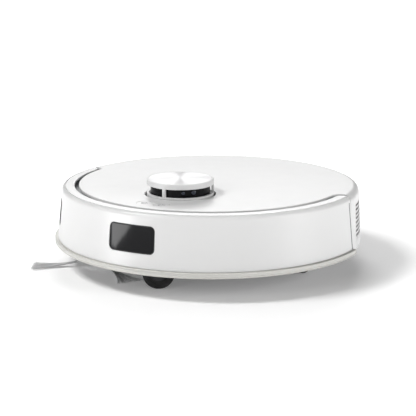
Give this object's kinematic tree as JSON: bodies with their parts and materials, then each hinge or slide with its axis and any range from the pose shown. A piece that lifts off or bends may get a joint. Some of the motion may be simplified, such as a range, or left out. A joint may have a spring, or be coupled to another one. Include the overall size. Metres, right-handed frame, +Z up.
{
  "type": "robot vacuum cleaner",
  "caption": "Low white disc-shaped robot vacuum with a laser turret, sprung front bumper, lift-off cover, side brush, roller brush, dust bin and drive wheels.",
  "frame": {"origin": "on the floor, under the axis of the disc-shaped body", "axes": "+Z up, the front with the bumper faces -Y, +X is the robot's own left"},
  "size_m": [0.35, 0.3433, 0.1067],
  "materials": {
    "white_shell": "satin white moulding",
    "trim_strip": "soft warm grey",
    "black_window": "polished infrared-clear black",
    "button_white": "satin",
    "turret_disc": "fine concentric turning marks",
    "scanner_black": "satin black",
    "lens": "coated lens",
    "chassis_black": "fine grain",
    "deck_grey": "fine grain",
    "dark_grey": "fine grain",
    "light_grey": "fine grain",
    "spring_steel": "drawn wire",
    "steel": "turned",
    "motor_can": "drawn can",
    "contact_metal": "plated",
    "battery_sleeve": "shrink sleeve over steel cells",
    "pcb": "solder mask",
    "tyre": "moulded tread",
    "rubber": "flexible belt",
    "brush_rubber": "soft fins",
    "bristle": "nylon bristle",
    "bin_clear": "smoky clear",
    "filter_paper": "pleated paper"
  },
  "bodies": {
    "body": {"button_board": "pcb", "turret_springs": "spring_steel", "lidar_base": "dark_grey", "lidar_motor": "motor_can", "lidar_belt": "rubber", "chassis": "chassis_black", "deck": "deck_grey", "deck_magnets": "steel", "wheel_housings": "dark_grey", "battery_pack": "battery_sleeve", "battery_door": "chassis_black", "main_board": "pcb", "speaker": "dark_grey", "front_sensor_module": "dark_grey", "cliff_sensors": "black_window", "charging_contacts": "contact_metal", "chassis_screws": "steel", "bumper_springs": "spring_steel", "caster_socket": "dark_grey", "side_brush_motor": "dark_grey", "main_brush_housing": "dark_grey", "brush_guard": "chassis_black", "main_brush_motor": "motor_can", "main_brush_belt": "rubber", "suction_duct": "rubber", "dust_bin": "bin_clear", "dust_bin_lid": "dark_grey", "dust_filter": "filter_paper", "fan_housing": "light_grey", "fan_motor": "motor_can"},
    "bumper": {"bumper_shell": "white_shell", "bumper_strip": "trim_strip", "front_window": "black_window", "side_window": "black_window"},
    "cover": {"top_cover": "white_shell", "cover_magnets": "steel"},
    "power_key": {"power_button": "button_white"},
    "home_key": {"home_button": "button_white"},
    "turret_cap": {"turret_cage": "white_shell", "turret_top_disc": "turret_disc"},
    "scanner": {"lidar_head": "scanner_black", "lidar_lenses": "lens"},
    "scanner_drive": {"lidar_motor_pulley": "light_grey"},
    "left_drive": {"left_wheel_arm": "dark_grey", "left_wheel_motor": "motor_can"},
    "right_drive": {"right_wheel_arm": "dark_grey", "right_wheel_motor": "motor_can"},
    "left_wheel": {"left_wheel_hub": "light_grey", "left_tyre": "tyre"},
    "right_wheel": {"right_wheel_hub": "light_grey", "right_tyre": "tyre"},
    "caster": {"caster_fork": "chassis_black", "caster_axle": "steel"},
    "caster_roller": {"caster_wheel": "rubber"},
    "side_brush": {"side_brush_hub": "light_grey", "side_brush_bristles": "bristle"},
    "main_brush": {"main_brush_core": "light_grey", "main_brush_fins": "brush_rubber"},
    "brush_drive": {"main_brush_motor_pulley": "light_grey"},
    "fan": {"fan_impeller": "light_grey"}
  },
  "joints": [
    {"name": "bumper_press", "type": "slide", "parent": "body", "child": "bumper", "axis": [0, 1, 0], "range_m": [0, 0.003], "stiffness_N_per_m": 300, "springref_m": -0.003, "deforming": ["bumper_springs"]},
    {"name": "cover_lift", "type": "slide", "parent": "body", "child": "cover", "axis": [0, 0, 1], "range_m": [0, 0.085]},
    {"name": "power_button_press", "type": "slide", "parent": "cover", "child": "power_key", "axis": [0, 0, -1], "range_m": [0, 0.0008], "stiffness_N_per_m": 900, "springref_m": -0.0008},
    {"name": "home_button_press", "type": "slide", "parent": "cover", "child": "home_key", "axis": [0, 0, -1], "range_m": [0, 0.0008], "stiffness_N_per_m": 900, "springref_m": -0.0008},
    {"name": "turret_press", "type": "slide", "parent": "body", "child": "turret_cap", "axis": [0, 0, -1], "range_m": [0, 0.0015], "stiffness_N_per_m": 500, "springref_m": -0.002, "deforming": ["turret_springs"]},
    {"name": "scanner_spin", "type": "hinge", "parent": "body", "child": "scanner", "pos_m": [0, -0.0693, 0.0963], "axis": [0, 0, 1], "continuous": true},
    {"name": "scanner_pulley_spin", "type": "hinge", "parent": "body", "child": "scanner_drive", "pos_m": [0.046, -0.0693, 0.068], "axis": [0, 0, 1], "continuous": true},
    {"name": "left_suspension", "type": "hinge", "parent": "body", "child": "left_drive", "pos_m": [0.093, -0.057, 0.04], "axis": [-1, 0, 0], "range_deg": [0, 16], "stiffness_Nm_per_rad": 0.35, "springref_deg": 57.3},
    {"name": "left_wheel_spin", "type": "hinge", "parent": "left_drive", "child": "left_wheel", "pos_m": [0.11, 0, 0.035], "axis": [1, 0, 0], "continuous": true},
    {"name": "right_suspension", "type": "hinge", "parent": "body", "child": "right_drive", "pos_m": [-0.093, -0.057, 0.04], "axis": [-1, 0, 0], "range_deg": [0, 16], "stiffness_Nm_per_rad": 0.35, "springref_deg": 57.3},
    {"name": "right_wheel_spin", "type": "hinge", "parent": "right_drive", "child": "right_wheel", "pos_m": [-0.11, 0, 0.035], "axis": [1, 0, 0], "continuous": true},
    {"name": "caster_swivel", "type": "hinge", "parent": "body", "child": "caster", "pos_m": [0, -0.1325, 0.03], "axis": [0, 0, 1], "continuous": true},
    {"name": "caster_roll", "type": "hinge", "parent": "caster", "child": "caster_roller", "pos_m": [0.00704, -0.12871, 0.017], "axis": [-0.4741, 0.8805, 0], "continuous": true},
    {"name": "side_brush_spin", "type": "hinge", "parent": "body", "child": "side_brush", "pos_m": [-0.09117, -0.08928, 0.009], "axis": [0, 0, 1], "continuous": true},
    {"name": "main_brush_spin", "type": "hinge", "parent": "body", "child": "main_brush", "pos_m": [0, -0.0145, 0.024], "axis": [1, 0, 0], "continuous": true},
    {"name": "main_brush_motor_spin", "type": "hinge", "parent": "body", "child": "brush_drive", "pos_m": [0.082, 0.027, 0.028], "axis": [1, 0, 0], "continuous": true},
    {"name": "fan_spin", "type": "hinge", "parent": "body", "child": "fan", "pos_m": [0.066, 0.08, 0.046], "axis": [1, 0, 0], "continuous": true}
  ],
  "couplings": [
    {"joint": "scanner_pulley_spin", "follows": "scanner_spin", "ratio": 5},
    {"joint": "main_brush_motor_spin", "follows": "main_brush_spin", "ratio": 2}
  ]
}
